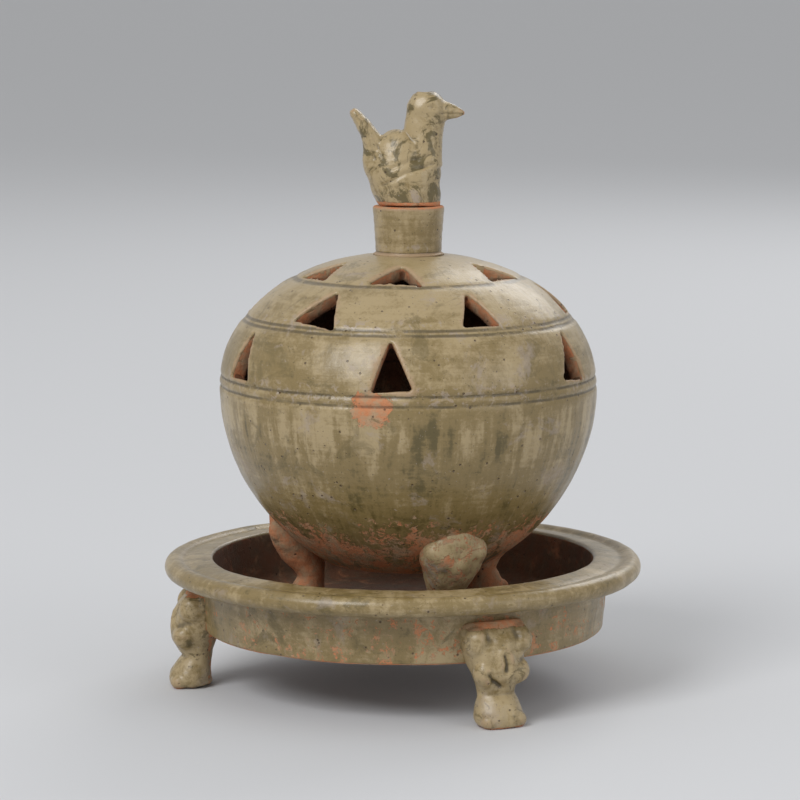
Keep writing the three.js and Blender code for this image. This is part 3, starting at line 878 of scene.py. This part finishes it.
def footPoints(name, look, crispness, order):
    shape = bmesh.new()
    limb(shape, look["column"])
    for centre, halves in look["lumps"]:
        lump(shape, centre, halves)
    piece = softened(newSkin(pieceFrom(name, shape), footSkin["voxel"]), footSkin["softening"])
    points, normals = pointsOf(piece), normalsOf(piece)
    front = ramp(normals[:, 0], *footSkin["front"])
    points = pressed(points, normals, [1, 2], look["slits"], front, crispness)
    seed = look["firstSeed"] + order * footSkin["seedStep"]
    lumpy = waves(points, [(size, seed + k, depth) for k, (size, depth) in enumerate(footSkin["waves"])])
    return piece, points + normals * lumpy[:, None]


def turnedTo(points, azimuth, axisX, lift):
    angle = math.radians(azimuth - 90)
    x, y = points[:, 0], points[:, 1]
    return np.column_stack([
        x * math.cos(angle) - y * math.sin(angle) + axisX,
        x * math.sin(angle) + y * math.cos(angle), points[:, 2] + lift,
    ])


def makeTrayFeet():
    glaze = celadon("footGlaze", {
        "girth": 80, "runs": 0.2, "runSize": 5, "blotches": 0.75, "blotch": 6, "patch": 7,
        "blooms": 0.35, "gloss": 0.40, "lighter": 0.07, "mottle": 0.6,
    })
    f, underside, sink = trayFoot, tray["underside"], trayFoot["sink"]
    for order, (side, azimuth) in enumerate(f["azimuths"].items()):
        piece, points = footPoints(f"tray_beast_foot_{side}", f, 1.0, order)
        reach, z = points[:, 0], points[:, 2]  # both follow what is done to the points
        share = np.clip((z - underside) / (trayRim.z - underside), 0, 1)
        wall = tray["wallFoot"] + (tray["wallTop"] - tray["wallFoot"]) * share - sink
        flatRadius = np.hypot(points[:, 0], points[:, 1])
        within = (z > underside) & (flatRadius < wall)
        nearWall = (wall - flatRadius) < (z - underside)
        pushed = np.where(within & nearWall, wall / np.maximum(flatRadius, 1), 1)
        points[:, 0] *= pushed
        points[:, 1] *= pushed
        points[:, 2] = np.where(within & ~nearWall, underside + sink, z)
        points[:, 2] = np.maximum(points[:, 2], 0)
        bare = f["thinClay"] + ramp(z, *f["top"]) * f["topClay"] + ramp(z, *f["sole"]) * f["soleClay"]
        bare = np.maximum(bare, np.where(reach < f["backReach"], f["backClay"], 0))
        putPoints(piece, turnedTo(points, azimuth, 0, 0))
        dress(piece, glaze, "tray", [f"tray_foot_{side}"], bare)


def makeBurnerFeet():
    clay = celadon("footClay", {
        "axisX": burnerAxis, "girth": 60, "runs": 0.2, "blotches": 0.3, "patch": 8, "blooms": 0.8,
        "lighter": 0.20, "mottle": 0.5, "gloss": 0.5, "coat": 0.1,
    })
    f, edge = burnerFoot, burnerFoot["globeLevel"]
    centre = np.array([burnerAxis, 0, globe["widest"]])
    for order, (side, azimuth) in enumerate(f["azimuths"].items()):
        piece, points = footPoints(f"burner_beast_foot_{side}", f, f["crispness"][side], order)
        points[:, 2] = np.maximum(points[:, 2], 0)
        points = turnedTo(points, azimuth, burnerAxis, burnerStand)
        level = globeLevel(points)
        outwards = np.where(level < edge, edge / np.maximum(level, 0.2), 1)[:, None]
        points = np.where(points[:, 2:] > globe["base"], centre + (points - centre) * outwards, points)
        putPoints(piece, points)
        bare = np.full(len(points), f["clayShare"][side])
        dress(piece, clay, "burner", [f"burner_foot_{side}"], bare, f["paintedShade"])


# Bird stopper, drawn facing +x, with x measured from the burner's axis

bird = {
    # body, neck and head, beak, tail
    "limbs": [
        [(0.75, 181.3, 10.9, 10.8), (0.75, 182.8, 11.3, 11.1), (-0.5, 187.0, 12.8, 11.2),
         (-1.3, 191.4, 13.6, 11.0), (-1.8, 195.6, 13.6, 10.2), (-0.4, 199.4, 12.0, 8.8),
         (2.8, 202.0, 8.6, 7.0)],
        [(4.6, 196, 8.0, 8.0), (5.2, 202.4, 7.4, 7.0), (5.4, 208.0, 7.4, 6.2), (6.4, 213.0, 7.4, 6.1),
         (6.6, 217.6, 7.2, 6.2), (6.5, 221.0, 5.6, 5.0), (6.5, 222.8, 3.4, 2.8)],
        [(9.0, 215.8, 4.6, 4.4), (13.4, 215.7, 3.8, 3.4), (17.2, 215.3, 2.4, 2.1), (19.8, 215.0, 1.3, 1.1),
         (20.9, 214.8, 0.6, 0.5)],
        [(-8.6, 192.4, 7.0, 6.6), (-11.2, 198.0, 6.2, 5.6), (-13.0, 203.0, 4.4, 4.8),
         (-14.8, 207.4, 3.3, 4.4), (-17.4, 211.6, 2.5, 4.0), (-19.8, 214.8, 1.9, 3.2),
         (-20.8, 216.2, 1.1, 2.0)],
    ],
    # lines pressed into both sides: points as (x, z), width and depth
    "slits": [
        ([(-12.4, 198), (-15.0, 206.4), (-19.4, 213.8)], 0.45, 0.6),
        ([(-9.6, 199), (-13.2, 206.8), (-17.4, 212)], 0.4, 0.5),
        ([(-10, 188.4), (-1, 193.4), (9, 196.4)], 0.8, 0.6), ([(-6, 195), (1, 198), (8, 199.6)], 0.7, 0.5),
        ([(11.6, 214.9), (20.2, 214.5)], 0.35, 0.45), ([(8.6, 217.3), (9.2, 217.3)], 1.0, 0.7),
    ],
    "plug": 7.1, "plugLength": 12, "plugTaper": 0.6, "plugRoot": 1.2, "turnedSides": 64,
    # the disc that it sits on, as radii and rises over the seat
    "disc": [(0, 0.1), (10.7, 0.1), (11.2, 0.8), (0, 3)], "discX": 0.7,
    # side is how far a normal points sideways where the pressed lines start and are full, and body
    # the rises over the seat where the unevenness does
    "voxel": 0.45, "softening": 4, "side": (0.1, 0.5), "body": (1, 4), "topDrop": 0.4,
    "waves": [(6, 71, 0.4), (2, 72, 0.13)],
    # where bare clay starts and is full, and its shares
    "crownX": 6.5, "crownRadius": 5, "crownFrom": 221.5, "crownClay": 0.1,
    "saddle": [(-7, 202), (-2.4, 202)], "saddleNear": (4, 1), "saddleUp": (0.4, 0.8), "saddleClay": 0.8,
    "foot": (2.2, 0.8), "tail": (-16, -21), "tailClay": 0.45, "thinClay": 0.18,
}


def makeBird():
    b = bird
    shape = bmesh.new()
    for stations in b["limbs"]:
        limb(shape, stations)
    bottom, root = seatHeight - b["plugLength"], seatHeight + b["plugRoot"]
    plug = [(0, bottom), (b["plug"] - b["plugTaper"], bottom), (b["plug"], root), (0, root)]
    turn(shape, plug, b["turnedSides"])
    disc = [(radius, seatHeight + rise) for radius, rise in b["disc"]]
    turn(shape, disc, b["turnedSides"], b["discX"])
    piece = softened(newSkin(pieceFrom("bird", shape), b["voxel"]), b["softening"])
    points, normals = pointsOf(piece), normalsOf(piece)
    side = ramp(np.abs(normals[:, 1]), *b["side"])
    points = pressed(points, normals, [0, 2], b["slits"], side)
    body = ramp(points[:, 2], *[seatHeight + rise for rise in b["body"]])
    points = points + normals * (waves(points, b["waves"]) * body)[:, None]
    points[:, 2] = np.minimum(points[:, 2], cadBox[1].z / mm - b["topDrop"])

    x, z = points[:, 0], points[:, 2]
    crown = (np.hypot(x - b["crownX"], points[:, 1]) < b["crownRadius"]) & (z > b["crownFrom"])
    saddle = ramp(nearLine(points[:, [0, 2]], b["saddle"]), *b["saddleNear"])
    bare = np.maximum.reduce([
        ramp(z, *[seatHeight + rise for rise in b["foot"]]),
        saddle * ramp(normals[:, 2], *b["saddleUp"]) * b["saddleClay"],
        ramp(x, *b["tail"]) * b["tailClay"], np.full(len(z), b["thinClay"]),
    ])
    bare = np.where(crown, b["crownClay"], bare)
    points[:, 0] += burnerAxis
    putPoints(piece, points)
    glaze = celadon("birdGlaze", {
        "axisX": burnerAxis, "girth": 12, "runs": 0.3, "runSize": 4, "blotches": 0.92, "blotch": 10,
        "patch": 6, "blotchFrom": 0.50, "blooms": 0.7, "lighter": 0.16, "cloud": 14, "mottle": 0.5,
        "wear": 0.85, "colours": {"worn": (0.50, 0.24, 0.13)},
    })
    dress(piece, glaze, "stopper", ["bird_stopper"], bare)


makeGlobe()
makeNeck()
makeTray()
makeTrayFeet()
makeBurnerFeet()
makeBird()

# Floor, lamps and camera, in metres

studio = {
    "floor": (0.62, 0.63, 0.65), "floorHalf": 30, "floorRoughness": 0.8, "ambient": 0.55,
    # each lamp's place, size and power
    "lamps": {
        "keyLamp": ((-1.3, -1.7, 1.9), 1.3, 42),
        "fillLamp": ((1.9, -1.3, 0.9), 1.4, 8),
        "backLamp": ((0.9, 1.8, 1.5), 1.2, 12),
    },
    "aim": (0, 0, 0.11), "camera": (-0.00116, -1.231, 0.2728), "pitch": 82.353, "lens": 148.95,
    "sensor": 36,
}


def makeStudio():
    half = studio["floorHalf"]
    shape = bmesh.new()
    corners = ((-half, -half), (half, -half), (half, half), (-half, half))
    shape.faces.new([shape.verts.new((x, y, 0)) for x, y in corners])
    mesh = bpy.data.meshes.new("floor")
    shape.to_mesh(mesh)
    shape.free()
    floor = bpy.data.objects.new("floor", mesh)
    bpy.context.scene.collection.objects.link(floor)
    paint = Recipe("floorPaint")
    mesh.materials.append(paint.surfaced(paint.node("ShaderNodeBsdfPrincipled", None, {
        "Base Color": (*studio["floor"], 1), "Roughness": studio["floorRoughness"],
    })))

    world = bpy.data.worlds.new("studio")
    world.use_nodes = True
    background = world.node_tree.nodes["Background"]
    background.inputs["Color"].default_value = (1, 1, 1, 1)
    background.inputs["Strength"].default_value = studio["ambient"]
    bpy.context.scene.world = world
    for name, (spot, size, power) in studio["lamps"].items():
        data = bpy.data.lights.new(name, "AREA")
        data.size, data.energy = size, power
        lamp = bpy.data.objects.new(name, data)
        lamp.location = spot
        lamp.rotation_euler = (Vector(studio["aim"]) - Vector(spot)).to_track_quat("-Z", "Y").to_euler()
        bpy.context.scene.collection.objects.link(lamp)

    data = bpy.data.cameras.new("camera")
    data.lens, data.sensor_width = studio["lens"], studio["sensor"]
    camera = bpy.data.objects.new("camera", data)
    camera.location = studio["camera"]
    camera.rotation_euler = (math.radians(studio["pitch"]), 0, 0)
    bpy.context.scene.collection.objects.link(camera)
    bpy.context.scene.camera = camera
    bpy.context.scene.view_settings.view_transform = "Standard"


makeStudio()
